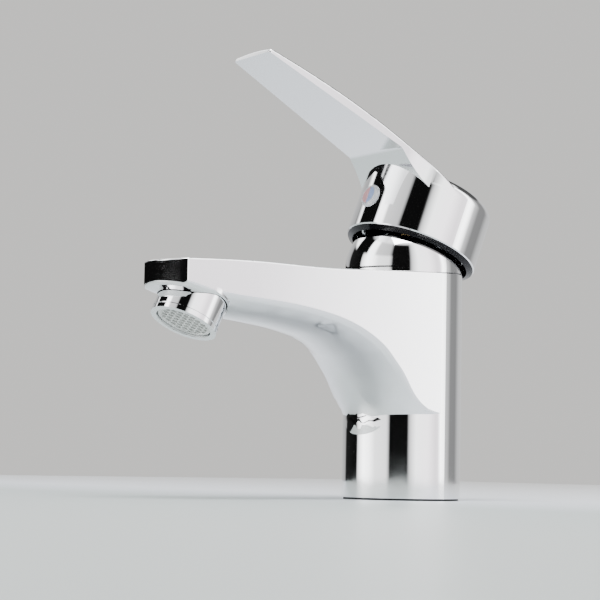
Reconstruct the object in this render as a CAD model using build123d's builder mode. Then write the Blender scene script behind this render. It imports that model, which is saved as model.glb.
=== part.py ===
from build123d import *
import os
from math import cos, radians, sin, sqrt, tan

# Single-lever bathroom mixer faucet with an under-deck fixing set.  Millimetres.
# +Z is up, the deck is the plane Z = 0, the origin is the centre of the column's foot and
# the spout points along -Y.  The lever is shown lifted and turned a little to one side.

# ---- column and spout ----
COLUMN_R = 23.0
FOOT_Z = 0.8              # underside of the body, above the deck by the gasket's thickness
TOP_Z = 87.4              # top face of the body, on the column's axis
TOP_FALL = 2.6            # degrees, fall of the body's top face towards the spout
SPOUT_REACH = 123.7       # from the column's axis to the middle of the tip face
SPOUT_TAPER = 5.2         # degrees, each side of the spout
TIP_BOW = 5.0             # how far the tip face bulges forward
TIP_TOP_Z = 83.3
SHELL_R = 19.0            # hollow foot of the column
SHELL_TOP_Z = 30.0
ARCH_ROUND, TIP_ROUND, TOP_ROUND = 2.5, 1.5, 0.6
WIDE, TALL = 80.0, 100.0  # sizes of cuts that run clear of the body
# the rounded lower side of the spout, from the column's front to the tip: for each section
# the (Y, Z) of its middle, the (Y, Z) of its edge and the edge's half width
KEEL = [
    ((-22.6, 22.0), (-9.0, 22.0), 19.4),
    ((-23.15, 31.0), (-10.2, 31.0), 19.6),
    ((-24.8, 39.0), (-16.6, 39.6), 21.2),
    ((-26.8, 43.9), (-20.0, 45.0), 21.3),
    ((-29.8, 48.7), (-25.2, 51.0), 20.9),
    ((-35.2, 53.2), (-31.6, 57.2), 20.3),
    ((-44.3, 57.4), (-41.4, 62.6), 19.3),
    ((-57.0, 60.6), (-55.6, 67.0), 18.0),
    ((-72.3, 62.9), (-72.0, 69.5), 16.5),
    ((-90.0, 64.4), (-90.0, 70.9), 14.9),
    ((-107.0, 67.9), (-107.0, 72.1), 13.3),
    ((-126.0, 74.9), (-126.0, 75.6), 11.6),
]
FLANK, CORE = 6.0, 70.0   # how far each section runs on beyond its edges and up into the body

# ---- cartridge and its seat ----
SEAT_Z = 52.0
CARTRIDGE_R = 17.45
SHOULDER_Z = 79.6         # where the retaining nut presses on the cartridge
NECK_R = 12.0
NECK_TOP_Z = 93.4
THREAD_R = 19.5           # M39 thread of the retaining nut
CHAMBER_R = 19.2          # mixed-water chamber around the cartridge
CHAMBER_Z, CHAMBER_H = 54.0, 23.0
CHANNEL_R = 4.5           # water way through the spout
PASSAGE_R = 2.8
BASE_TOP_Z = 60.0
DISC_T = 3.5
INLET_X, INLET_Y = 6.2, 4.5
OUTLET_Y, OUTLET_W, OUTLET_L = -8.5, 12.0, 6.0
OUTLET_Z = 55.0
SEAL_R, SEAL_WIRE = 4.2, 0.9
DISC_R, MOVING_R = 15.2, 11.8
DISC_CENTRE = 3.0         # the moving disc's centre is behind its driving ball
HOUSING_BORE_R = 15.5
FLANGE_Z, FLANGE_TOP_Z = 72.0, 77.3
ROTOR_R, ROTOR_TOP_Z = 10.2, 94.0
WINDOW_L, WINDOW_TOP_Z = 23.0, 80.0
CARRIER_W, CARRIER_L, CARRIER_TOP_Z = 12.0, 10.0, 77.1
PIN_R, PIN_HALF = 1.5, 8.0
BALL_R = 3.0
POCKET_W = 6.6            # square pocket of the carrier around the ball

# ---- inlets and fixing under the deck ----
PORT_R = 5.0              # M10 x 1
PORT_X, PORT_Y = 7.0, -6.0
PORT_DEPTH = 12.0
STUD_R = 4.0              # M8
STUD_Y = 12.5
STUD_TOP_Z = 40.0
STUD_BOTTOM_Z = -46.0
CLAMP_Z = -31.0           # top of the rubber horseshoe
RUBBER_T, PLATE_T, NUT_T = 3.0, 2.0, 8.0
NUT_FLATS = 13.0
SLOT_W, SLOT_DEPTH = 1.2, 2.5  # screwdriver slot of the stud
CLAMP_R = 24.0
HOSE_Y, HOSE_GAP_R = -7.0, 13.0
GASKET_R = 22.3
LIP_OUTER_R, LIP_INNER_R, LIP_HEIGHT = 21.6, 20.0, 1.6

# ---- neck cap ----
PIVOT_Z = 88.9
CAP_R = 22.9              # sphere about the lever's pivot
CAP_WALL = 1.2
CAP_RISE = 12.0           # height of the cap's open top above the pivot
COLLAR_Z, COLLAR_H, COLLAR_R = 88.6, 2.8, 20.6
RING_Z, CAP_WIRE = 90.0, 0.9
NUT_HEX, NUT_HEX_H = 33.0, 3.4

# ---- lever, in its own frame: origin on the pivot, -Y along the lever ----
TURN = -8.0               # degrees about +Z
LIFT = 21.5               # degrees
SKIRT_R = 26.1
SKIRT_WALL = 1.7
SKIRT_BOTTOM = 8.3
SKIRT_BEVEL = 0.4
SHOULDER = 28.8           # height where the skirt's wall starts to round over
CROWN = 38.6              # top of the skirt's dome above the pivot
LEVER_TOP = 48.0          # above everything on the lever
LEVER_TIP = 95.8          # from the pivot's axis to the tip
LEVER_ROOT = 30.5         # where the lever's underside meets the sloping face
TIP_HALF, ROOT_HALF = 12.0, 17.0
TIP_UNDER, ROOT_UNDER = 43.8, 37.2
FLARE_R = 26.0            # blend between the lever's sides and the skirt, seen from above
FLARE_INSET = 0.05
UNDER_SLOPE = 34.0        # degrees, sloping face under the lever's root
UNDER_ROUND = 3.0
ROOF = [(-1, 38.2, 36), (LEVER_ROOT, 42.4, 60), (LEVER_TIP + 1, 46.0, 90)]  # reach, height, crown
TRIM_R = 23.5             # inner edge of the trim ring
TRIM_DROP = 1.4
STEM_HALF = 4.0           # half of the stem's 8 mm square
STEM_TOP = 27.0
ROD_R = 2.1
HUB_R, HUB_BOTTOM = 8.5, 14.0
BUTTON_R = 4.6
BUTTON_Z = 20.4
BUTTON_SEAT, BUTTON_FACE = 22.0, 27.2
BUTTON_ROUND = 0.9
MARK_R, MARK_T = 3.4, 0.3
SCREW_R = 3.0             # M6
SCREW_LENGTH = 8.0
ARM = 13.5                # from the pivot down to the ball that drives the disc

# ---- aerator, in its own frame: origin on its seat, +Z the way the water leaves ----
AERATOR_TILT = 26.0
AERATOR_RIM_Y, AERATOR_RIM_Z = -110.5, 61.7
AERATOR_R = 12.3
AERATOR_LENGTH = 13.0
NIPPLE_R, NIPPLE_LENGTH = 10.95, 6.0
BOSS_R, SPOT_FACE_R, BOSS_H = 13.6, 12.7, 1.5
NIPPLE_BORE_R = 8.5
WASHER_T = 1.6
LIP_R = 10.2
CELL_R = 1.3
SCREEN_T = 0.5
RECESS = 2.0              # hollow above the outlet holes, where the screen lies
INSERT_FLANGE_T = 1.2

GAP = 0.1


def on(frame, plane):
    """A plane given in a frame's own coordinates, as a plane in the faucet's frame."""
    return Plane(frame.location * plane.location)


def up(frame):
    """The frame's own +Z axis."""
    return Axis(frame.origin, frame.z_dir)


SWIVEL = Plane.XY.rotated((0, 0, TURN))
LEVER = on(Plane.XY.offset(PIVOT_Z).rotated((0, 0, TURN)), Plane.XY.rotated((-LIFT, 0, 0)))
water = (0, -sin(radians(AERATOR_TILT)), -cos(radians(AERATOR_TILT)))
AERATOR = Plane(
    origin=(
        0,
        AERATOR_RIM_Y - AERATOR_LENGTH * water[1],
        AERATOR_RIM_Z - AERATOR_LENGTH * water[2],
    ),
    x_dir=(1, 0, 0),
    z_dir=water,
)
TOP = Plane(
    origin=(0, 0, TOP_Z),
    x_dir=(1, 0, 0),
    z_dir=(0, -sin(radians(TOP_FALL)), cos(radians(TOP_FALL))),
)


def side_half(reach):
    """Half width of the spout at a distance in front of the column's axis."""
    taper = radians(SPOUT_TAPER)
    return (COLUMN_R - reach * sin(taper)) / cos(taper)


def ring(outer, inner, plane, height):
    """A plain ring, standing on a plane."""
    with BuildPart() as piece:
        with BuildSketch(plane):
            Circle(outer)
            Circle(inner, mode=Mode.SUBTRACT)
        extrude(amount=height)
    return piece


def o_ring(plane, radius, wire):
    """A rubber ring of round section, centred on a plane."""
    with BuildPart() as piece:
        with BuildSketch(on(plane, Plane.XZ)):
            with Locations((radius, 0)):
                Circle(wire)
        revolve(axis=up(plane))
    return piece


def save(piece, name):
    piece.part.label = name
    export_step(piece.part, f"parts/{name}.step")


os.makedirs("parts", exist_ok=True)

# ---------------------------------------------------------------- body
tip_corner = SPOUT_REACH - TIP_BOW
tangent_y = -COLUMN_R * sin(radians(SPOUT_TAPER))
tangent_x = COLUMN_R * cos(radians(SPOUT_TAPER))
top_slope = tan(radians(TOP_FALL))
beyond_tip = -SPOUT_REACH - 1
BESIDE = Plane.YZ.offset(-WIDE / 2)
CHANNEL = Plane(origin=(0, -17, 72), x_dir=(1, 0, 0), z_dir=(0, -86, 5))
CHANNEL_LENGTH = 86.1
LONG_EDGE = 90.0


def keel_section(middle, edge, half):
    """A cross-section of the spout whose lower side is one arc through its middle and edges."""
    across, rise = edge[0] - middle[0], edge[1] - middle[1]
    depth = sqrt(across**2 + rise**2)
    radius = (half**2 + depth**2) / (2 * depth)
    reach = min(half + 2, 0.977 * radius)
    drop = sqrt(radius**2 - reach**2)
    shoulder = radius - drop + FLANK * reach / drop
    plane = Plane(origin=(0, *middle), x_dir=(1, 0, 0), z_dir=(0, -rise, across))
    with BuildSketch(plane) as section:
        with BuildLine():
            ThreePointArc((-reach, radius - drop), (0, 0), (reach, radius - drop))
            Polyline(
                (reach, radius - drop),
                (reach + FLANK, shoulder),
                (reach + FLANK, CORE),
                (-reach - FLANK, CORE),
                (-reach - FLANK, shoulder),
                (-reach, radius - drop),
            )
        make_face()
    return section.sketch


with BuildPart() as body:
    # spout: its rounded lower side, trimmed to its outline from above, then softened
    for middle, edge, half in KEEL:
        add(keel_section(middle, edge, half))
    loft()
    with BuildSketch(Plane.XY):
        with BuildLine():
            Polyline(
                (side_half(tip_corner), -tip_corner),
                (tangent_x, tangent_y),
                (-tangent_x, tangent_y),
                (-side_half(tip_corner), -tip_corner),
            )
            ThreePointArc(
                (-side_half(tip_corner), -tip_corner),
                (0, -SPOUT_REACH),
                (side_half(tip_corner), -tip_corner),
            )
        make_face()
    extrude(amount=TALL, mode=Mode.INTERSECT)
    keel_edges = body.edges().filter_by(GeomType.BSPLINE)
    fillet(keel_edges.filter_by(lambda edge: edge.length > LONG_EDGE), ARCH_ROUND)
    fillet(body.edges().filter_by(Axis.Z).group_by(Axis.Y)[0], TIP_ROUND)
    # column
    with BuildSketch(Plane.XY.offset(FOOT_Z)):
        Circle(COLUMN_R)
    extrude(amount=TALL - FOOT_Z)
    # top face, flat over the column and gently hollowed along the spout
    with BuildSketch(BESIDE):
        with BuildLine():
            Spline(
                (beyond_tip, TIP_TOP_Z),
                (-85, 84.9),
                (-55, 84.9),
                (-COLUMN_R, TOP_Z - COLUMN_R * top_slope),
                tangents=((1, 0.06), (1, top_slope)),
            )
            Polyline(
                (-COLUMN_R, TOP_Z - COLUMN_R * top_slope),
                (COLUMN_R + 1, TOP_Z + (COLUMN_R + 1) * top_slope),
                (COLUMN_R + 1, TALL + 1),
                (beyond_tip, TALL + 1),
                (beyond_tip, TIP_TOP_Z),
            )
        make_face()
    extrude(amount=WIDE, mode=Mode.SUBTRACT)
    fillet(body.faces().sort_by(Axis.Z)[-1].edges(), TOP_ROUND)
    # cartridge seat, mixed-water chamber and thread of the retaining nut
    with BuildSketch(Plane.XY.offset(SEAT_Z)):
        Circle(CARTRIDGE_R + GAP)
    extrude(amount=50, mode=Mode.SUBTRACT)
    with BuildSketch(Plane.XY.offset(CHAMBER_Z)):
        Circle(CHAMBER_R)
    extrude(amount=CHAMBER_H, mode=Mode.SUBTRACT)
    with BuildSketch(Plane.XY.offset(SHOULDER_Z)):
        Circle(THREAD_R)
    extrude(amount=20, mode=Mode.SUBTRACT)
    # hollow foot, gasket groove, inlet ports with their risers, and stud hole
    with BuildSketch(Plane.XY):
        Circle(SHELL_R)
    extrude(amount=SHELL_TOP_Z, mode=Mode.SUBTRACT)
    with BuildSketch(Plane.XY):
        Circle(LIP_OUTER_R)
        Circle(LIP_INNER_R, mode=Mode.SUBTRACT)
    extrude(amount=FOOT_Z + LIP_HEIGHT, mode=Mode.SUBTRACT)
    with BuildSketch(Plane.XY.offset(SHELL_TOP_Z)):
        with Locations((PORT_X, PORT_Y), (-PORT_X, PORT_Y)):
            Circle(PORT_R)
    extrude(amount=PORT_DEPTH, mode=Mode.SUBTRACT)
    for side in (1, -1):
        with BuildSketch(Plane.XY.offset(SHELL_TOP_Z + PORT_DEPTH)):
            with Locations((side * PORT_X, PORT_Y)):
                Circle(PASSAGE_R)
        with BuildSketch(Plane.XY.offset(SEAT_Z)):
            with Locations((side * INLET_X, INLET_Y)):
                Circle(PASSAGE_R)
        loft(mode=Mode.SUBTRACT)
    with BuildSketch(Plane.XY.offset(SHELL_TOP_Z)):
        with Locations((0, STUD_Y)):
            Circle(STUD_R)
    extrude(amount=STUD_TOP_Z - SHELL_TOP_Z, mode=Mode.SUBTRACT)
    # water way along the spout, seat, threaded nipple and outlet of the aerator
    with BuildSketch(CHANNEL):
        Circle(CHANNEL_R)
    extrude(amount=CHANNEL_LENGTH, mode=Mode.SUBTRACT)
    with BuildSketch(AERATOR.offset(-3)):
        Circle(BOSS_R)
    extrude(amount=3 + BOSS_H)
    with BuildSketch(AERATOR):
        Circle(SPOT_FACE_R)
    extrude(amount=AERATOR_LENGTH + 5, mode=Mode.SUBTRACT)
    with BuildSketch(AERATOR):
        Circle(NIPPLE_R)
    extrude(amount=NIPPLE_LENGTH)
    with BuildSketch(AERATOR.offset(-4)):
        Circle(NIPPLE_BORE_R)
    extrude(amount=NIPPLE_LENGTH + 4, mode=Mode.SUBTRACT)
save(body, "faucet_body")

# ---------------------------------------------------------------- under the deck
with BuildPart() as base_gasket:
    with BuildSketch(Plane.XY):
        Circle(GASKET_R)
        Circle(SHELL_R + 0.4, mode=Mode.SUBTRACT)
    extrude(amount=FOOT_Z)
    with BuildSketch(Plane.XY.offset(FOOT_Z)):
        Circle(LIP_OUTER_R - 0.05)
        Circle(LIP_INNER_R + 0.05, mode=Mode.SUBTRACT)
    extrude(amount=LIP_HEIGHT - 0.1)
save(base_gasket, "base_gasket")

with BuildPart() as mounting_stud:
    with BuildSketch(Plane.XY.offset(STUD_BOTTOM_Z)):
        with Locations((0, STUD_Y)):
            Circle(STUD_R)
    extrude(amount=STUD_TOP_Z - STUD_BOTTOM_Z)
    chamfer(mounting_stud.edges().group_by(Axis.Z)[0], 1)
    # screwdriver slot across the lower end
    with BuildSketch(Plane.XY.offset(STUD_BOTTOM_Z)):
        with Locations((0, STUD_Y)):
            Rectangle(3 * STUD_R, SLOT_W)
    extrude(amount=SLOT_DEPTH, mode=Mode.SUBTRACT)
save(mounting_stud, "mounting_stud")


def horseshoe(outer, top_z, thickness):
    """A clamping washer, open at the front for the supply hoses."""
    with BuildPart() as washer:
        with BuildSketch(Plane.XY.offset(top_z - thickness)):
            Circle(outer)
            with Locations((0, HOSE_Y)):
                Circle(HOSE_GAP_R, mode=Mode.SUBTRACT)
            with Locations((0, HOSE_Y - 20)):
                Rectangle(2 * HOSE_GAP_R, 40, mode=Mode.SUBTRACT)
            with Locations((0, STUD_Y)):
                Circle(STUD_R + 0.3, mode=Mode.SUBTRACT)
        extrude(amount=thickness)
        fillet(washer.edges().filter_by(Axis.Z).group_by(Axis.Y)[0], 1)
    return washer


save(horseshoe(CLAMP_R, CLAMP_Z, RUBBER_T), "rubber_horseshoe_washer")
save(horseshoe(CLAMP_R - 0.5, CLAMP_Z - RUBBER_T, PLATE_T), "steel_horseshoe_plate")

with BuildPart() as fixing_nut:
    with BuildSketch(Plane.XY.offset(CLAMP_Z - RUBBER_T - PLATE_T - NUT_T)):
        with Locations((0, STUD_Y)):
            RegularPolygon(NUT_FLATS / 2, 6, major_radius=False)
            Circle(STUD_R, mode=Mode.SUBTRACT)
    extrude(amount=NUT_T)
save(fixing_nut, "fixing_nut")

# ---------------------------------------------------------------- cartridge
inlets = [(INLET_X, INLET_Y), (-INLET_X, INLET_Y)]

with BuildPart() as cartridge_base:
    with BuildSketch(Plane.XY.offset(SEAT_Z)):
        Circle(CARTRIDGE_R)
    extrude(amount=BASE_TOP_Z - SEAT_Z)
    with BuildSketch(Plane.XY.offset(SEAT_Z)):
        with Locations(*inlets):
            Circle(PASSAGE_R)
    extrude(amount=BASE_TOP_Z - SEAT_Z, mode=Mode.SUBTRACT)
    # seats of the inlet seals below and of the disc seals above
    with BuildSketch(Plane.XY.offset(SEAT_Z)):
        with Locations(*inlets):
            Circle(SEAL_R + SEAL_WIRE)
            Circle(SEAL_R - SEAL_WIRE, mode=Mode.SUBTRACT)
    extrude(amount=2 * SEAL_WIRE, mode=Mode.SUBTRACT)
    with BuildSketch(Plane.XY.offset(BASE_TOP_Z - 2 * SEAL_WIRE)):
        with Locations(*inlets):
            Circle(SEAL_R + SEAL_WIRE)
            Circle(SEAL_R - SEAL_WIRE, mode=Mode.SUBTRACT)
    extrude(amount=2 * SEAL_WIRE, mode=Mode.SUBTRACT)
    # outlet, from the disc down and out to the front
    with BuildSketch(Plane.XY.offset(OUTLET_Z)):
        with Locations((0, OUTLET_Y)):
            SlotOverall(OUTLET_W, OUTLET_L)
    extrude(amount=BASE_TOP_Z - OUTLET_Z, mode=Mode.SUBTRACT)
    with BuildSketch(Plane.XY.offset(OUTLET_Z)):
        with Locations((0, OUTLET_Y - OUTLET_W / 2)):
            Rectangle(OUTLET_W, OUTLET_W)
    extrude(amount=BASE_TOP_Z - OUTLET_Z - 2 * SEAL_WIRE, mode=Mode.SUBTRACT)
save(cartridge_base, "cartridge_base")


def seals(z):
    """The two rubber rings round the inlets, at one height."""
    with BuildPart() as pair:
        for x, y in inlets:
            with BuildSketch(Plane.XZ.offset(-y)):
                with Locations((x + SEAL_R, z)):
                    Circle(SEAL_WIRE)
            revolve(axis=Axis((x, y, 0), (0, 0, 1)))
    return pair


save(seals(SEAT_Z + SEAL_WIRE), "inlet_seals")
save(seals(BASE_TOP_Z - SEAL_WIRE), "disc_seals")

with BuildPart() as fixed_disc:
    with BuildSketch(Plane.XY.offset(BASE_TOP_Z)):
        Circle(DISC_R)
        with Locations(*inlets):
            Circle(PASSAGE_R, mode=Mode.SUBTRACT)
        with Locations((0, OUTLET_Y)):
            SlotOverall(OUTLET_W, OUTLET_L, mode=Mode.SUBTRACT)
    extrude(amount=DISC_T)
save(fixed_disc, "fixed_ceramic_disc")

with BuildPart() as cartridge_housing:
    with BuildSketch(Plane.XY.offset(BASE_TOP_Z)):
        Circle(CARTRIDGE_R)
    extrude(amount=SHOULDER_Z - BASE_TOP_Z)
    with BuildSketch(Plane.XY.offset(SHOULDER_Z)):
        Circle(NECK_R)
    extrude(amount=NECK_TOP_Z - SHOULDER_Z)
    with BuildSketch(Plane.XY.offset(BASE_TOP_Z)):
        Circle(HOUSING_BORE_R)
    extrude(amount=FLANGE_TOP_Z + GAP - BASE_TOP_Z, mode=Mode.SUBTRACT)
    with BuildSketch(Plane.XY.offset(BASE_TOP_Z)):
        Circle(ROTOR_R + 0.06)
    extrude(amount=50, mode=Mode.SUBTRACT)
save(cartridge_housing, "cartridge_housing")

# ---------------------------------------------------------------- turning with the lever
with BuildPart() as rotor:
    with BuildSketch(SWIVEL.offset(FLANGE_Z)):
        Circle(HOUSING_BORE_R - 0.2)
    extrude(amount=FLANGE_TOP_Z - FLANGE_Z)
    with BuildSketch(SWIVEL.offset(FLANGE_TOP_Z)):
        Circle(ROTOR_R)
    extrude(amount=ROTOR_TOP_Z - FLANGE_TOP_Z)
    # window for the disc carrier, slot for the stem and hole for its pin
    with BuildSketch(SWIVEL.offset(FLANGE_Z)):
        Rectangle(CARRIER_W + 0.3, WINDOW_L)
    extrude(amount=WINDOW_TOP_Z - FLANGE_Z, mode=Mode.SUBTRACT)
    with BuildSketch(SWIVEL.offset(FLANGE_Z)):
        Rectangle(2 * STEM_HALF + 0.3, 2 * ROTOR_R + 2)
    extrude(amount=ROTOR_TOP_Z - FLANGE_Z, mode=Mode.SUBTRACT)
    with BuildSketch(on(SWIVEL, Plane.YZ.offset(-ROTOR_R - 2))):
        with Locations((0, PIVOT_Z)):
            Circle(PIN_R)
    extrude(amount=2 * ROTOR_R + 4, mode=Mode.SUBTRACT)
save(rotor, "cartridge_rotor")

with BuildPart() as pivot_pin:
    with BuildSketch(on(SWIVEL, Plane.YZ.offset(-PIN_HALF))):
        with Locations((0, PIVOT_Z)):
            Circle(PIN_R)
    extrude(amount=2 * PIN_HALF)
save(pivot_pin, "pivot_pin")

# ---------------------------------------------------------------- sliding with the lever's lift
ball_y = -ARM * sin(radians(LIFT))
disc_y = ball_y + DISC_CENTRE

with BuildPart() as moving_disc:
    with BuildSketch(SWIVEL.offset(BASE_TOP_Z + DISC_T)):
        with Locations((0, disc_y)):
            Circle(MOVING_R)
            SlotOverall(14, 8, mode=Mode.SUBTRACT)
    extrude(amount=DISC_T)
save(moving_disc, "moving_ceramic_disc")

with BuildPart() as carrier:
    with BuildSketch(SWIVEL.offset(BASE_TOP_Z + 2 * DISC_T)):
        with Locations((0, disc_y)):
            Circle(MOVING_R)
    extrude(amount=FLANGE_Z - GAP - BASE_TOP_Z - 2 * DISC_T)
    with BuildSketch(SWIVEL.offset(BASE_TOP_Z + 2 * DISC_T)):
        with Locations((0, ball_y)):
            Rectangle(CARRIER_W, CARRIER_L)
    extrude(amount=CARRIER_TOP_Z - BASE_TOP_Z - 2 * DISC_T)
    with BuildSketch(SWIVEL.offset(PIVOT_Z - ARM - BALL_R - 0.4)):
        with Locations((0, ball_y)):
            Rectangle(POCKET_W, POCKET_W)
    extrude(amount=20, mode=Mode.SUBTRACT)
save(carrier, "disc_carrier")

# ---------------------------------------------------------------- neck
with BuildPart() as cap_nut:
    with BuildSketch(Plane.XY.offset(SHOULDER_Z)):
        Circle(THREAD_R)
    extrude(amount=COLLAR_Z - SHOULDER_Z)
    with BuildSketch(Plane.XY.offset(COLLAR_Z)):
        Circle(COLLAR_R)
    extrude(amount=COLLAR_H)
    with BuildSketch(Plane.XY.offset(COLLAR_Z + COLLAR_H)):
        RegularPolygon(NUT_HEX / 2, 6, major_radius=False)
    extrude(amount=NUT_HEX_H)
    with BuildSketch(Plane.XY.offset(SHOULDER_Z)):
        Circle(NECK_R + 0.3)
    extrude(amount=30, mode=Mode.SUBTRACT)
    with BuildSketch(Plane.XY.offset(RING_Z - CAP_WIRE)):
        Circle(COLLAR_R + 1)
        Circle(COLLAR_R - 0.8, mode=Mode.SUBTRACT)
    extrude(amount=2 * CAP_WIRE, mode=Mode.SUBTRACT)
save(cap_nut, "cartridge_nut")

save(o_ring(Plane.XY.offset(RING_Z), COLLAR_R - 0.8 + CAP_WIRE, CAP_WIRE), "neck_o_ring")

with BuildPart() as neck_cap:
    with BuildSketch(Plane.XZ):
        with Locations((0, PIVOT_Z)):
            Circle(CAP_R)
            Circle(CAP_R - CAP_WALL, mode=Mode.SUBTRACT)
            with Locations((-CAP_R, 0)):
                Rectangle(2 * CAP_R, 4 * CAP_R, mode=Mode.SUBTRACT)
            with Locations((0, CAP_RISE + CAP_R)):
                Rectangle(4 * CAP_R, 2 * CAP_R, mode=Mode.SUBTRACT)
    revolve(axis=Axis.Z)
    split(bisect_by=TOP, keep=Keep.TOP)
save(neck_cap, "neck_cap")

# ---------------------------------------------------------------- lever
with BuildPart() as stem:
    with BuildSketch(LEVER.offset(-4)):
        Rectangle(2 * STEM_HALF, 2 * STEM_HALF)
    extrude(amount=STEM_TOP + 4)
    with BuildSketch(LEVER.offset(-ARM)):
        Circle(ROD_R)
    extrude(amount=ARM)
    with BuildSketch(on(LEVER, Plane.XZ)):
        with Locations((0, -ARM)):
            Circle(BALL_R)
        with Locations((-BALL_R, -ARM)):
            Rectangle(2 * BALL_R, 3 * BALL_R, mode=Mode.SUBTRACT)
    revolve(axis=up(LEVER))
    with BuildSketch(on(LEVER, Plane.YZ.offset(-10))):
        Circle(PIN_R + 0.05)
    extrude(amount=20, mode=Mode.SUBTRACT)
save(stem, "lever_stem")


def lever_half(reach):
    """Half width of the lever at a distance from the pivot's axis."""
    return ROOT_HALF + (reach - LEVER_ROOT) * (TIP_HALF - ROOT_HALF) / (LEVER_TIP - LEVER_ROOT)


def roof(reach, height, radius):
    """A section across the lever whose top is one shallow arc."""
    half = 30
    edge = height - radius + sqrt(radius**2 - half**2)
    with BuildSketch(on(LEVER, Plane.XZ.offset(reach))) as section:
        with BuildLine():
            Polyline((-half, edge), (-half, 0), (half, 0), (half, edge))
            ThreePointArc((half, edge), (0, height), (-half, edge))
        make_face()
    return section.sketch



def slope_z(reach):
    """Height of the sloping face under the lever's root."""
    return ROOT_UNDER - (LEVER_ROOT - reach) * tan(radians(UNDER_SLOPE))


with BuildPart() as front:
    # straight front wall of the skirt, up to the sloping face
    with BuildSketch(on(LEVER, BESIDE)):
        Polygon(
            (-SKIRT_R, slope_z(SKIRT_R)),
            (5, slope_z(-5)),
            (-SKIRT_R, slope_z(-5)),
            align=None,
        )
    extrude(amount=WIDE)
    with BuildSketch(LEVER):
        Circle(SKIRT_R)
    extrude(amount=LEVER_TOP, mode=Mode.INTERSECT)

with BuildPart() as handle:
    # flared base and tapering lever: outline from above, then underside, then crowned top
    with BuildSketch(LEVER.offset(SKIRT_BOTTOM)) as outline:
        Circle(SKIRT_R - FLARE_INSET)
        with BuildLine():
            Polyline(
                (lever_half(0), 0),
                (TIP_HALF, -LEVER_TIP),
                (-TIP_HALF, -LEVER_TIP),
                (-lever_half(0), 0),
                close=True,
            )
        make_face()
        fillet(outline.vertices().group_by(Axis.Y)[-1], FLARE_R)
        fillet(outline.vertices().group_by(Axis.Y)[0], 1.2)
        with Locations((0, SKIRT_R)):
            Rectangle(60, 2 * SKIRT_R, mode=Mode.SUBTRACT)
    extrude(amount=LEVER_TOP - SKIRT_BOTTOM)
    with BuildSketch(on(LEVER, BESIDE)):
        with BuildLine():
            FilletPolyline(
                (-LEVER_TIP - 1, TIP_UNDER),
                (-LEVER_ROOT, ROOT_UNDER),
                (5, slope_z(-5)),
                radius=UNDER_ROUND,
            )
            Polyline(
                (5, slope_z(-5)),
                (5, 0),
                (-LEVER_TIP - 1, 0),
                (-LEVER_TIP - 1, TIP_UNDER),
            )
        make_face()
    extrude(amount=WIDE, mode=Mode.SUBTRACT)
    for reach, height, crown in ROOF:
        add(roof(reach, height, crown))
    loft(mode=Mode.INTERSECT)
    top_edges = handle.edges().filter_by(lambda edge: edge.geom_type == GeomType.BSPLINE)
    fillet(top_edges.sort_by(up(LEVER))[1:], 0.9)
    # round skirt with its domed top
    with BuildSketch(on(LEVER, Plane.XZ)):
        with BuildLine():
            Spline(
                (SKIRT_R, SHOULDER),
                (24.0, 32.9),
                (15, 37.0),
                (0, CROWN),
                tangents=((0, 1), (-1, 0)),
            )
            Polyline(
                (0, CROWN),
                (0, SKIRT_BOTTOM),
                (SKIRT_R - SKIRT_BEVEL, SKIRT_BOTTOM),
                (SKIRT_R, SKIRT_BOTTOM + SKIRT_BEVEL),
                (SKIRT_R, SHOULDER),
            )
        make_face()
    revolve(axis=up(LEVER))
    add(front.part)
    # hollow inside, round the hub
    with BuildSketch(on(LEVER, Plane.XZ)):
        with BuildLine():
            Polyline(
                (0, SKIRT_BOTTOM),
                (SKIRT_R - SKIRT_WALL, SKIRT_BOTTOM),
                (SKIRT_R - SKIRT_WALL, SHOULDER - 5),
                (17, 32.5),
                (HUB_R, 32.5),
                (HUB_R, HUB_BOTTOM),
                (0, HUB_BOTTOM),
                close=True,
            )
        make_face()
    revolve(axis=up(LEVER), mode=Mode.SUBTRACT)
    # tube from the hub to the front of the skirt, for the set screw and the indicator
    with BuildSketch(on(LEVER, Plane.XZ.offset(HUB_R - 2))):
        with Locations((0, BUTTON_Z)):
            Circle(BUTTON_R + 1.6)
    extrude(amount=SKIRT_R - SKIRT_WALL / 2 - HUB_R + 2)
    with BuildSketch(on(LEVER, Plane.XZ)):
        with Locations((0, BUTTON_Z)):
            Circle(SCREW_R)
    extrude(amount=SKIRT_R, mode=Mode.SUBTRACT)
    with BuildSketch(on(LEVER, Plane.XZ.offset(BUTTON_SEAT))):
        with Locations((0, BUTTON_Z)):
            Circle(BUTTON_R)
    extrude(amount=10, mode=Mode.SUBTRACT)
    with BuildSketch(LEVER.offset(HUB_BOTTOM)):
        Rectangle(2 * STEM_HALF, 2 * STEM_HALF)
    extrude(amount=STEM_TOP - HUB_BOTTOM + 0.5, mode=Mode.SUBTRACT)
save(handle, "handle")

with BuildPart() as trim:
    with BuildSketch(on(LEVER, Plane.XZ)):
        with BuildLine():
            Polyline(
                (TRIM_R, SKIRT_BOTTOM - TRIM_DROP),
                (SKIRT_R - SKIRT_BEVEL, SKIRT_BOTTOM - 0.3),
                (SKIRT_R - SKIRT_BEVEL, SKIRT_BOTTOM),
                (SKIRT_R - SKIRT_WALL, SKIRT_BOTTOM),
                (SKIRT_R - SKIRT_WALL, SKIRT_BOTTOM + 2.2),
                (TRIM_R, SKIRT_BOTTOM + 2.2),
                close=True,
            )
        make_face()
    revolve(axis=up(LEVER))
save(trim, "handle_trim_ring")

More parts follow.
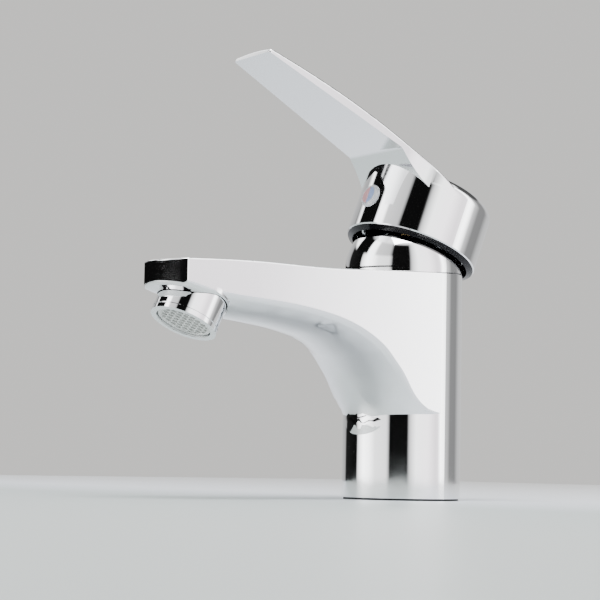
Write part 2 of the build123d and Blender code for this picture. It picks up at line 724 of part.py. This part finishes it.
with BuildPart() as set_screw:
    with BuildSketch(on(LEVER, Plane.XZ.offset(STEM_HALF))):
        with Locations((0, BUTTON_Z)):
            Circle(SCREW_R)
    extrude(amount=SCREW_LENGTH)
    with BuildSketch(on(LEVER, Plane.XZ.offset(STEM_HALF + SCREW_LENGTH - 3))):
        with Locations((0, BUTTON_Z)):
            RegularPolygon(1.5, 6, major_radius=False)
    extrude(amount=3, mode=Mode.SUBTRACT)
save(set_screw, "handle_set_screw")

with BuildPart() as button:
    with BuildSketch(on(LEVER, Plane.XZ.offset(BUTTON_SEAT))):
        with Locations((0, BUTTON_Z)):
            Circle(BUTTON_R)
    extrude(amount=BUTTON_FACE - BUTTON_SEAT)
    fillet(button.edges().sort_by(Axis(LEVER.origin, -on(LEVER, Plane.XZ).z_dir))[0], BUTTON_ROUND)
    # shallow pocket for the two colour marks
    with BuildSketch(on(LEVER, Plane.XZ.offset(BUTTON_FACE - MARK_T))):
        with Locations((0, BUTTON_Z)):
            Circle(MARK_R)
    extrude(amount=MARK_T, mode=Mode.SUBTRACT)
save(button, "indicator_button")


def mark(side):
    """One half of the round temperature mark."""
    with BuildPart() as half:
        with BuildSketch(on(LEVER, Plane.XZ.offset(BUTTON_FACE - MARK_T))):
            with Locations((0, BUTTON_Z)):
                Circle(MARK_R)
                with Locations((-side * MARK_R, 0)):
                    Rectangle(2 * MARK_R, 2 * MARK_R, mode=Mode.SUBTRACT)
        extrude(amount=MARK_T)
    return half


save(mark(1), "cold_mark")
save(mark(-1), "hot_mark")

# ---------------------------------------------------------------- aerator
with BuildPart() as aerator_housing:
    with BuildSketch(AERATOR):
        Circle(AERATOR_R)
    extrude(amount=AERATOR_LENGTH)
    with BuildSketch(AERATOR):
        Circle(NIPPLE_R)
    extrude(amount=NIPPLE_LENGTH + WASHER_T + INSERT_FLANGE_T, mode=Mode.SUBTRACT)
    with BuildSketch(AERATOR):
        Circle(LIP_R)
    extrude(amount=AERATOR_LENGTH, mode=Mode.SUBTRACT)
    # turned groove that sets off the rim
    with BuildSketch(AERATOR.offset(AERATOR_LENGTH - 2)):
        Circle(AERATOR_R + 1)
        Circle(AERATOR_R - 0.3, mode=Mode.SUBTRACT)
    extrude(amount=0.4, mode=Mode.SUBTRACT)
save(aerator_housing, "aerator_housing")

save(ring(NIPPLE_R, NIPPLE_BORE_R, AERATOR.offset(NIPPLE_LENGTH), WASHER_T), "aerator_washer")

with BuildPart() as insert:
    with BuildSketch(AERATOR.offset(NIPPLE_LENGTH + WASHER_T)):
        Circle(NIPPLE_R)
    extrude(amount=INSERT_FLANGE_T)
    with BuildSketch(AERATOR.offset(NIPPLE_LENGTH + WASHER_T)):
        Circle(LIP_R - 0.3)
    extrude(amount=AERATOR_LENGTH - 0.8 - NIPPLE_LENGTH - WASHER_T)
    # recess above, and the honeycomb of outlet holes in the face
    with BuildSketch(AERATOR.offset(NIPPLE_LENGTH + WASHER_T)):
        Circle(LIP_R - 1.5)
    extrude(amount=RECESS, mode=Mode.SUBTRACT)
    with BuildSketch(AERATOR.offset(NIPPLE_LENGTH + WASHER_T)):
        with HexLocations(CELL_R, 7, 7):
            RegularPolygon(CELL_R - 0.25, 6, major_radius=False)
        Circle(LIP_R - 1.5, mode=Mode.INTERSECT)
    extrude(amount=AERATOR_LENGTH, mode=Mode.SUBTRACT)
save(insert, "aerator_insert")

with BuildPart() as screen:
    with BuildSketch(AERATOR.offset(NIPPLE_LENGTH + WASHER_T + RECESS - SCREEN_T)):
        Circle(LIP_R - 1.6)
        with GridLocations(1.6, 1.6, 9, 9):
            Rectangle(1.2, 1.2, mode=Mode.SUBTRACT)
    extrude(amount=SCREEN_T)
save(screen, "aerator_screen")
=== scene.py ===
from math import pi, radians, sin

import bpy
from mathutils import Matrix, Vector

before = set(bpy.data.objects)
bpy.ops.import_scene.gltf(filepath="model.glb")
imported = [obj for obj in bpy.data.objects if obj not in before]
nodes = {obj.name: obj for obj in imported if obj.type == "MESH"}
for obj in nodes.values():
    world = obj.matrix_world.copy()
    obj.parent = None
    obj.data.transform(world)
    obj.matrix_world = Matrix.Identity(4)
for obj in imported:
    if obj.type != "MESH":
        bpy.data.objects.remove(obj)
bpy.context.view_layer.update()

MM = 0.001


# ---------------------------------------------------------------- node helpers
def add(tree, kind, inputs=None, **settings):
    """A new node; each input is given a plain value, or another node's output to link."""
    made = tree.nodes.new("ShaderNode" + kind)
    for name, value in settings.items():
        setattr(made, name, value)
    for name, value in (inputs or {}).items():
        if isinstance(value, bpy.types.NodeSocket):
            tree.links.new(value, made.inputs[name])
        else:
            made.inputs[name].default_value = value
    return made


def calc(tree, operation, a, b):
    """One step of arithmetic on two values."""
    return add(tree, "Math", {0: a, 1: b}, operation=operation).outputs[0]


def mix(tree, factor, first, second):
    """Two colours blended; a Mix node's colour sockets are inputs 6 and 7 and output 2."""
    return add(tree, "Mix", {0: factor, 6: first, 7: second}, data_type="RGBA").outputs[2]


def ramp(tree, factor, stops):
    """A colour ramp; each stop is a place from 0 to 1 and a grey level or an (r, g, b)."""
    made = add(tree, "ValToRGB", {"Fac": factor})
    elements = made.color_ramp.elements
    while len(elements) < len(stops):
        elements.new(0.5)
    for element, (place, level) in zip(elements, stops):
        element.position = place
        colour = level if isinstance(level, tuple) else (level, level, level)
        element.color = (*colour, 1.0)
    return made.outputs["Color"]


def between(tree, value, low, high, start=0.0, end=1.0, smooth=False):
    """value, mapped from low..high to start..end and held there outside."""
    inputs = {"Value": value, "From Min": low, "From Max": high, "To Min": start, "To Max": end}
    kind = "SMOOTHSTEP" if smooth else "LINEAR"
    return add(tree, "MapRange", inputs, interpolation_type=kind).outputs["Result"]


def noise(tree, place, scale, detail=4.0, roughness=0.55, stretch=None):
    """Fractal noise over the piece, as a value near 0.5; stretch scales the three axes first."""
    if stretch:
        place = add(tree, "Mapping", {"Vector": place, "Scale": stretch}).outputs[0]
    inputs = {"Vector": place, "Scale": scale, "Detail": detail, "Roughness": roughness}
    return add(tree, "TexNoise", inputs).outputs["Fac"]


def bump(tree, height, distance):
    """A shading normal for relief of that many metres."""
    return add(tree, "Bump", {"Height": height, "Distance": distance}).outputs["Normal"]


def finish_of(name, **constants):
    """A new material: itself, its node tree, its shader and the piece's own coordinates."""
    material = bpy.data.materials.new(name)
    material.use_nodes = True
    tree = material.node_tree
    shader = tree.nodes["Principled BSDF"]
    for key, value in constants.items():
        shader.inputs[key.replace("_", " ")].default_value = value
    place = add(tree, "TexCoord").outputs["Object"]
    return material, tree, shader, place


def link(tree, output, shader, name):
    """One of the shader's inputs, fed by a node's output."""
    tree.links.new(output, shader.inputs[name])


# ---------------------------------------------------------------- finishes
def chrome():
    """Polished plating over a cast body: a faint film of smudges and the slightest ripple."""
    material, tree, shader, place = finish_of("chrome_plate", Metallic=1.0)
    film = noise(tree, place, scale=38.0, detail=7.0, roughness=0.62)
    drift = noise(tree, place, scale=9.0, detail=3.0)
    ripple = noise(tree, place, scale=70.0, detail=2.0)
    spots = add(tree, "TexVoronoi", {"Vector": place, "Scale": 240.0}).outputs["Distance"]
    spot_film = between(tree, spots, 0.10, 0.06, start=0.0, end=0.03)
    rough = between(tree, film, 0.35, 0.75, start=0.028, end=0.075)
    link(tree, calc(tree, "ADD", rough, spot_film), shader, "Roughness")
    colour = ramp(tree, drift, [(0.3, (0.80, 0.805, 0.82)), (0.7, (0.86, 0.865, 0.875))])
    link(tree, colour, shader, "Base Color")
    link(tree, bump(tree, ripple, 0.012 * MM), shader, "Normal")
    return material


def machined(name, dark, light, roughness):
    """Turned metal: fine rings about the upright axis, with a little tarnish."""
    material, tree, shader, place = finish_of(name, Metallic=1.0)
    tarnish = noise(tree, place, scale=85.0, detail=6.0, roughness=0.6)
    rings = noise(tree, place, 260.0, detail=3.0, roughness=0.5, stretch=(0.15, 0.15, 9.0))
    link(tree, ramp(tree, tarnish, [(0.32, dark), (0.68, light)]), shader, "Base Color")
    wear = between(tree, rings, 0.3, 0.7, start=roughness - 0.07, end=roughness + 0.09)
    link(tree, wear, shader, "Roughness")
    link(tree, bump(tree, rings, 0.02 * MM), shader, "Normal")
    return material


def rubber():
    """Black rubber with a fine pebbled skin and a dusty bloom."""
    material, tree, shader, place = finish_of("black_rubber", Specular_IOR_Level=0.35)
    grain = noise(tree, place, scale=1400.0, detail=3.0, roughness=0.6)
    bloom = noise(tree, place, scale=60.0, detail=5.0)
    tone = ramp(tree, bloom, [(0.35, (0.012, 0.012, 0.013)), (0.72, (0.035, 0.035, 0.037))])
    link(tree, tone, shader, "Base Color")
    link(tree, between(tree, bloom, 0.3, 0.7, start=0.55, end=0.75), shader, "Roughness")
    link(tree, bump(tree, grain, 0.06 * MM), shader, "Normal")
    return material


def plastic(name, dark, light, roughness, grain_scale=900.0, relief=0.02 * MM, ior=1.48):
    """Moulded plastic: slight colour drift, uneven gloss and a fine moulded grain."""
    material, tree, shader, place = finish_of(name, IOR=ior)
    drift = noise(tree, place, scale=50.0, detail=4.0)
    grain = noise(tree, place, grain_scale, detail=4.0, roughness=0.6)
    link(tree, ramp(tree, drift, [(0.35, dark), (0.70, light)]), shader, "Base Color")
    gloss = between(tree, grain, 0.3, 0.7, start=roughness - 0.05, end=roughness + 0.07)
    link(tree, gloss, shader, "Roughness")
    link(tree, bump(tree, grain, relief), shader, "Normal")
    return material


def ceramic():
    """Lapped alumina: very even, faintly speckled and satin."""
    material, tree, shader, place = finish_of("ceramic", IOR=1.76)
    speckle = noise(tree, place, scale=700.0, detail=6.0, roughness=0.7)
    tone = ramp(tree, speckle, [(0.3, (0.80, 0.78, 0.73)), (0.6, (0.90, 0.885, 0.85))])
    link(tree, tone, shader, "Base Color")
    link(tree, between(tree, speckle, 0.3, 0.7, start=0.16, end=0.28), shader, "Roughness")
    return material


CHROME = chrome()
BRASS = machined("brass", (0.50, 0.33, 0.12), (0.78, 0.58, 0.28), 0.28)
ZINC = machined("zinc_plate", (0.42, 0.43, 0.44), (0.66, 0.67, 0.66), 0.34)
STAINLESS = machined("stainless", (0.48, 0.48, 0.49), (0.68, 0.68, 0.69), 0.26)
RUBBER = rubber()
BLACK = plastic("trim_black", (0.002, 0.002, 0.003), (0.006, 0.006, 0.007), 0.12,
                relief=0.003 * MM, ior=1.2)
GREY = plastic("cartridge_grey", (0.22, 0.23, 0.24), (0.31, 0.32, 0.33), 0.42)
WHITE = plastic("moulded_white", (0.62, 0.63, 0.62), (0.76, 0.77, 0.75), 0.40)
CERAMIC = ceramic()
BUTTON = plastic("button_clear", (0.62, 0.64, 0.70), (0.80, 0.81, 0.85), 0.10,
                 grain_scale=300.0, relief=0.004 * MM)
BLUE = plastic("mark_blue", (0.34, 0.46, 0.80), (0.46, 0.58, 0.88), 0.16,
               grain_scale=500.0, relief=0.006 * MM)
RED = plastic("mark_red", (0.78, 0.40, 0.44), (0.88, 0.52, 0.54), 0.16,
              grain_scale=500.0, relief=0.006 * MM)

FINISHES = {
    "faucet_body": CHROME,
    "neck_cap": CHROME,
    "handle": CHROME,
    "aerator_housing": CHROME,
    "base_gasket": RUBBER,
    "rubber_horseshoe_washer": RUBBER,
    "inlet_seals": RUBBER,
    "disc_seals": RUBBER,
    "neck_o_ring": RUBBER,
    "aerator_washer": RUBBER,
    "mounting_stud": ZINC,
    "steel_horseshoe_plate": ZINC,
    "fixing_nut": BRASS,
    "cartridge_nut": BRASS,
    "lever_stem": BRASS,
    "pivot_pin": STAINLESS,
    "handle_set_screw": STAINLESS,
    "aerator_screen": STAINLESS,
    "cartridge_base": GREY,
    "cartridge_housing": GREY,
    "cartridge_rotor": WHITE,
    "disc_carrier": WHITE,
    "aerator_insert": WHITE,
    "fixed_ceramic_disc": CERAMIC,
    "moving_ceramic_disc": CERAMIC,
    "handle_trim_ring": BLACK,
    "indicator_button": BUTTON,
    "cold_mark": BLUE,
    "hot_mark": RED,
}
for name, piece in nodes.items():
    piece.data.materials.clear()
    piece.data.materials.append(FINISHES[name])

# ---------------------------------------------------------------- floor, its colour painted with shade
FLOOR_HALF = 0.75
TONES_FROM, TONES_TO = -0.3, 0.7  # the ramp of tones runs between these, along Y
CLOUDING = 0.04  # how far the soft cloudiness moves a tone along that ramp

floor_mesh = bpy.data.meshes.new("floor")
corners = [(x * FLOOR_HALF, y * FLOOR_HALF, 0) for x, y in ((-1, -1), (1, -1), (1, 1), (-1, 1))]
floor_mesh.from_pydata(corners, [], [(0, 1, 2, 3)])
floor = bpy.data.objects.new("floor", floor_mesh)
bpy.context.scene.collection.objects.link(floor)
material, tree, shader, place = finish_of("pale_floor", Roughness=0.4, Specular_IOR_Level=0.3)
cloud = calc(tree, "MULTIPLY", noise(tree, place, scale=6.0, detail=5.0), CLOUDING)
along = add(tree, "SeparateXYZ", {0: place}).outputs[1]
tone = calc(tree, "ADD", between(tree, along, TONES_FROM, TONES_TO), cloud)
# painted shade: the floor's colour is darker grey-green towards the camera side (-Y) and greyer
# far off, around a pale blue-white band just behind the tap, so the chrome undersides mirror a
# gradient of shade
pale = ramp(tree, tone, [
    (0.05, (0.58, 0.63, 0.63)), (0.24, (0.56, 0.63, 0.64)), (0.32, (0.74, 0.80, 0.86)),
    (0.39, (0.86, 0.91, 0.98)), (0.60, (0.82, 0.85, 0.89)), (1.0, (0.76, 0.77, 0.78)),
])
link(tree, pale, shader, "Base Color")
floor_mesh.materials.append(material)


# ---------------------------------------------------------------- studio
def softbox(name, place, aim, size, power, colour):
    """A soft lamp that points from one place towards another."""
    lamp = bpy.data.lights.new(name, "AREA")
    lamp.shape = "RECTANGLE"
    lamp.size, lamp.size_y = size
    lamp.energy = power
    lamp.color = colour
    holder = bpy.data.objects.new(name, lamp)
    turn = (Vector(aim) - Vector(place)).to_track_quat("-Z", "Y").to_matrix().to_4x4()
    holder.matrix_world = Matrix.Translation(place) @ turn
    bpy.context.scene.collection.objects.link(holder)


softbox("key", place=(0.35, -0.25, 1.3), aim=(0, 0, 0.05), size=(1.1, 0.8), power=28.0,
        colour=(1.0, 0.99, 0.98))


def around(*stops):
    """Ramp stops given by compass angle in degrees, anticlockwise from +X."""
    return [((angle + 180) / 360, level) for angle, level in stops]


# what the metal mirrors, by compass angle: white panels parted by dark gaps
BLACK_CARD = 0.006
WHITE_PANEL = (
    (-34, BLACK_CARD), (-28, 1.6), (-17, 3.6), (6, (3.6, 3.4, 3.5)), (24, (2.3, 2.14, 2.24)),
    (31, (2.6, 2.45, 2.55)), (38, 6.5), (43, 5.0), (50, 1.2),
)
GREY_WALL = ((62, 0.36), (80, 0.34), (95, 0.85), (118, 0.95))
# near the horizon
PANELS = around(
    (-180, 0.02), (-142, BLACK_CARD), (-137, 2.6), (-124, 6.0), (-112, 5.0), (-98, 2.6),
    (-75, 2.2), (-68, BLACK_CARD), *WHITE_PANEL, *GREY_WALL, (137, 0.70), (150, 0.8), (172, 0.6),
    (180, 0.02),
)
# a low strip of elevations, without the panel that the spout points at
BAND = around(
    (-180, BLACK_CARD), *WHITE_PANEL, *GREY_WALL, (132, 0.6), (137, BLACK_CARD), (180, BLACK_CARD),
)
# higher up, where the tilted handle looks
UPPER = around(
    (-180, 4.0), (-174, 4.5), (-169, BLACK_CARD), (-132, BLACK_CARD), (-127, 5.5), (-113, 5.0),
    (-106, 1.5), (-76, 1.1), (-69, BLACK_CARD), *WHITE_PANEL, (58, 0.12), (125, 0.08),
    (150, 0.12), (166, 2.6), (180, 4.0),
)
CEILING = around((-180, 1.8), (-60, 2.6), (20, 3.6), (110, 2.0), (180, 1.8))

# elevations in degrees, each pair from where a change starts to where it is complete
BAND_STARTS = (4.2, 4.6)
BAND_ENDS = (7.4, 7.0)
UPPER_STARTS = (22, 28)
CEILING_STARTS = (46, 54)
PLAIN_WALL = (0.80, 0.79, 0.77, 1.0)  # what all but the glossy rays see

world = bpy.data.worlds.new("studio")
bpy.context.scene.world = world
world.use_nodes = True
tree = world.node_tree
tree.nodes.clear()
direction = add(tree, "TexCoord").outputs["Generated"]
x, y, height = add(tree, "SeparateXYZ", {0: direction}).outputs
compass = between(tree, calc(tree, "ARCTAN2", y, x), -pi, pi)
panels = ramp(tree, compass, PANELS)
band = ramp(tree, compass, BAND)
upper = ramp(tree, compass, UPPER)
ceiling = ramp(tree, compass, CEILING)


def across(elevations, smooth=False):
    """0 at the first of two elevations in degrees and 1 at the second."""
    low, high = (sin(radians(elevation)) for elevation in elevations)
    return between(tree, height, low, high, smooth=smooth)


in_band = calc(tree, "MULTIPLY", across(BAND_STARTS), across(BAND_ENDS))
low_half = mix(tree, in_band, panels, band)
walls = mix(tree, across(UPPER_STARTS, smooth=True), low_half, upper)
mirrored = mix(tree, across(CEILING_STARTS, smooth=True), walls, ceiling)
studio = add(tree, "Background", {"Color": mirrored}).outputs[0]
plain = add(tree, "Background", {"Color": PLAIN_WALL}).outputs[0]
glossy = add(tree, "LightPath").outputs["Is Glossy Ray"]
shown = add(tree, "MixShader", {0: glossy, 1: plain, 2: studio}).outputs[0]
add(tree, "OutputWorld", {"Surface": shown})

# ---------------------------------------------------------------- camera
# the camera's own axes, and where it stands in metres
RIGHT = Vector((0.6765, 0.7362, 0.0185))
UP = Vector((0.0498, -0.0708, 0.9963))
EYE = Vector((0.52784, -0.53838, 0.01323))
FOCAL, SENSOR_WIDTH = 115.71, 36.0  # both in millimetres
NEAREST_SEEN = 0.01

lens = bpy.data.cameras.new("camera")
lens.sensor_width = SENSOR_WIDTH
lens.lens = FOCAL
lens.clip_start = NEAREST_SEEN
camera = bpy.data.objects.new("camera", lens)
turn = Matrix((RIGHT, UP, RIGHT.cross(UP))).transposed().to_4x4()
camera.matrix_world = Matrix.Translation(EYE) @ turn
bpy.context.scene.collection.objects.link(camera)
bpy.context.scene.camera = camera
